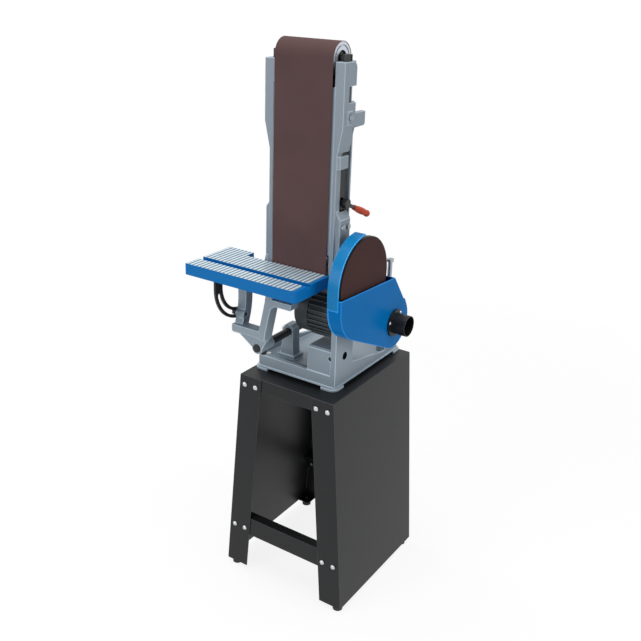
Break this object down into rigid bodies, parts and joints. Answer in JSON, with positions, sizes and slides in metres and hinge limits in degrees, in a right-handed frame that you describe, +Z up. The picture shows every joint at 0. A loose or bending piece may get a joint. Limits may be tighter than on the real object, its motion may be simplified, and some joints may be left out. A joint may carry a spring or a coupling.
{
  "type": "belt and disc sander",
  "caption": "Belt and disc sander on a splayed sheet-steel stand, tilting belt arm, grooved tilting table, guarded disc with dust port",
  "frame": {"origin": "on the floor under the middle of the machine's box", "axes": "+X to the disc side, +Y to the back, +Z up"},
  "size_m": [0.426, 0.495, 1.406],
  "materials": {
    "stand_paint": "matte black powder coat",
    "base_paint": "grey hammered paint on cast iron",
    "arm_paint": "grey paint on cast iron",
    "blue_paint": "gloss blue paint",
    "table_blue": "machined cast face with blue sides",
    "zinc": "zinc plated",
    "steel": "turned",
    "black_oxide": "black oxide",
    "alu": "machined",
    "abrasive": "coated abrasive cloth",
    "rubber": "matte",
    "black_plastic": "moulded",
    "orange_plastic": "moulded",
    "lamination": "stacked laminations"
  },
  "bodies": {
    "frame": {"stand_side_left": "stand_paint", "stand_side_right": "stand_paint", "stand_tray": "stand_paint", "stand_rail_front": "stand_paint", "stand_rail_rear": "stand_paint", "stand_bolts": "zinc", "stand_feet": "rubber", "base_casting": "base_paint", "base_bolt_front": "zinc", "base_bolt_rear": "zinc", "rod_clamp_screw": "zinc", "socket_set_screw": "black_oxide", "stop_stud": "zinc", "stop_nut": "zinc", "spindle_bearings": "steel", "drive_belt": "rubber", "motor_body": "black_plastic", "motor_stator": "lamination", "motor_bearing": "steel", "motor_cover": "black_plastic", "disc_housing": "blue_paint", "lower_guard": "blue_paint", "dust_port": "black_plastic"},
    "arm": {"arm_casting": "arm_paint", "arm_lock_bolts": "zinc", "arm_bearing": "steel", "platen": "steel", "sanding_belt": "abrasive", "tension_springs": "steel"},
    "arm_lock": {"arm_lock_handle": "black_oxide"},
    "spindle": {"spindle": "steel", "drive_drum": "alu", "disc_plate": "alu", "abrasive_disc": "abrasive", "spindle_pulley": "alu"},
    "motor_rotor": {"motor_rotor": "lamination", "motor_fan": "black_plastic", "motor_pulley": "alu"},
    "tension_carriage": {"slide_block_left": "black_oxide", "slide_block_right": "black_oxide", "idler_axle": "steel"},
    "idler": {"idler_drum": "alu", "idler_bearings": "steel"},
    "lever": {"cam_shaft": "steel", "tension_lever": "steel", "lever_grip": "orange_plastic"},
    "tracking": {"tracking_screw": "zinc"},
    "table_carrier": {"table_rod": "black_oxide", "yoke": "base_paint", "tilt_pins": "steel", "yoke_clamp_screw": "black_oxide"},
    "table": {"table_top": "table_blue", "quadrant": "black_oxide"},
    "tilt_lock": {"tilt_lock": "black_oxide"}
  },
  "joints": [
    {"name": "arm_tilt", "type": "hinge", "parent": "frame", "child": "arm", "pos_m": [0.01, -0.06302, 0.89], "axis": [-1, 0, 0], "range_deg": [0, 90]},
    {"name": "arm_lock_turn", "type": "hinge", "parent": "arm", "child": "arm_lock", "pos_m": [0.112, -0.07103, 0.974], "axis": [1, 0, 0], "range_deg": [-90, 90]},
    {"name": "spindle_spin", "type": "hinge", "parent": "frame", "child": "spindle", "pos_m": [0.01, -0.06302, 0.89], "axis": [1, 0, 0], "continuous": true},
    {"name": "motor_spin", "type": "hinge", "parent": "frame", "child": "motor_rotor", "pos_m": [0.01, -0.00953, 0.769], "axis": [1, 0, 0], "continuous": true},
    {"name": "lever_turn", "type": "hinge", "parent": "arm", "child": "lever", "pos_m": [0.106, -0.06853, 1.06202], "axis": [1, 0, 0], "range_deg": [0, 45]},
    {"name": "carriage_slide", "type": "slide", "parent": "arm", "child": "tension_carriage", "axis": [0, 0, 1], "range_m": [-0.006, 0], "deforming": ["tension_springs"]},
    {"name": "idler_spin", "type": "hinge", "parent": "tension_carriage", "child": "idler", "pos_m": [0.01, -0.07402, 1.3705], "axis": [1, 0, 0], "continuous": true},
    {"name": "tracking_turn", "type": "hinge", "parent": "arm", "child": "tracking", "pos_m": [0.112, -0.07852, 1.25201], "axis": [1, 0, 0], "range_deg": [-180, 180]},
    {"name": "table_slide", "type": "slide", "parent": "frame", "child": "table_carrier", "axis": [0, -1, 0], "range_m": [0, 0.04]},
    {"name": "table_tilt", "type": "hinge", "parent": "table_carrier", "child": "table", "pos_m": [-0.06, -0.15452, 0.854], "axis": [1, 0, 0], "range_deg": [0, 45]},
    {"name": "tilt_lock_turn", "type": "hinge", "parent": "table_carrier", "child": "tilt_lock", "pos_m": [-0.1296, -0.16278, 0.77543], "axis": [1, 0, 0], "range_deg": [-90, 90]}
  ],
  "couplings": [
    {"joint": "motor_spin", "follows": "spindle_spin", "ratio": 1.3478},
    {"joint": "idler_spin", "follows": "spindle_spin", "ratio": 1.3099},
    {"joint": "lever_turn", "follows": "carriage_slide", "rad_per_m": -130.9}
  ]
}
